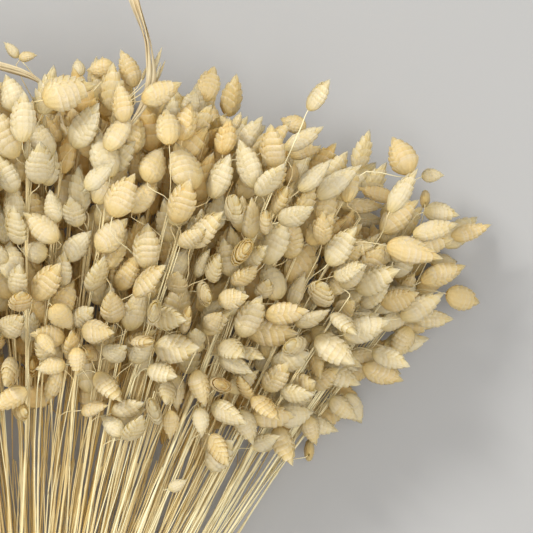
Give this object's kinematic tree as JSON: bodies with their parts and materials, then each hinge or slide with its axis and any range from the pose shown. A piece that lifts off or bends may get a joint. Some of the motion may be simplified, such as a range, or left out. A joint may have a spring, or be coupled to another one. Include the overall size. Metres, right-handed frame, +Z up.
{
  "type": "bunch of dried greater quaking grass",
  "caption": "Tied bunch of bleached dried quaking grass lying on a table, its thin culms fanned out under nodding flat spikelets.",
  "frame": {"origin": "the middle of the bunch's footprint on the table it lies on", "axes": "+Y from the cut ends to the heads; +Z up from the table; +X towards the side where the fan is wider"},
  "size_m": [0.4076, 0.5506, 0.1249],
  "materials": {
    "dried_grass": "dry, papery and matt, with a faint sheen on the scales",
    "twine": "coarse matt plant fibre"
  },
  "bodies": {
    "root": {"tuft_01": "dried_grass", "tuft_02": "dried_grass", "tuft_03": "dried_grass", "tuft_04": "dried_grass", "tuft_05": "dried_grass", "tuft_06": "dried_grass", "tuft_07": "dried_grass", "tuft_08": "dried_grass", "tuft_09": "dried_grass", "tuft_10": "dried_grass", "tuft_11": "dried_grass", "tuft_12": "dried_grass", "tuft_13": "dried_grass", "tuft_14": "dried_grass", "tuft_15": "dried_grass", "tuft_16": "dried_grass", "tuft_17": "dried_grass", "tuft_18": "dried_grass", "tuft_19": "dried_grass", "tuft_20": "dried_grass", "tuft_21": "dried_grass", "tuft_22": "dried_grass", "tuft_23": "dried_grass", "tuft_24": "dried_grass", "tuft_25": "dried_grass", "tuft_26": "dried_grass", "tuft_27": "dried_grass", "tuft_28": "dried_grass", "tuft_29": "dried_grass", "tuft_30": "dried_grass", "tuft_31": "dried_grass", "tuft_32": "dried_grass", "tuft_33": "dried_grass", "tuft_34": "dried_grass", "tuft_35": "dried_grass", "tuft_36": "dried_grass", "tuft_37": "dried_grass", "tuft_38": "dried_grass", "tuft_39": "dried_grass", "tuft_40": "dried_grass", "tuft_41": "dried_grass", "tuft_42": "dried_grass", "tuft_43": "dried_grass", "tuft_44": "dried_grass", "tuft_45": "dried_grass", "tuft_46": "dried_grass", "tuft_47": "dried_grass", "tuft_48": "dried_grass", "tuft_49": "dried_grass", "tuft_50": "dried_grass", "tuft_51": "dried_grass", "tuft_52": "dried_grass", "tuft_53": "dried_grass", "tuft_54": "dried_grass", "tuft_55": "dried_grass", "tuft_56": "dried_grass", "tie": "twine"}
  },
  "joints": []
}
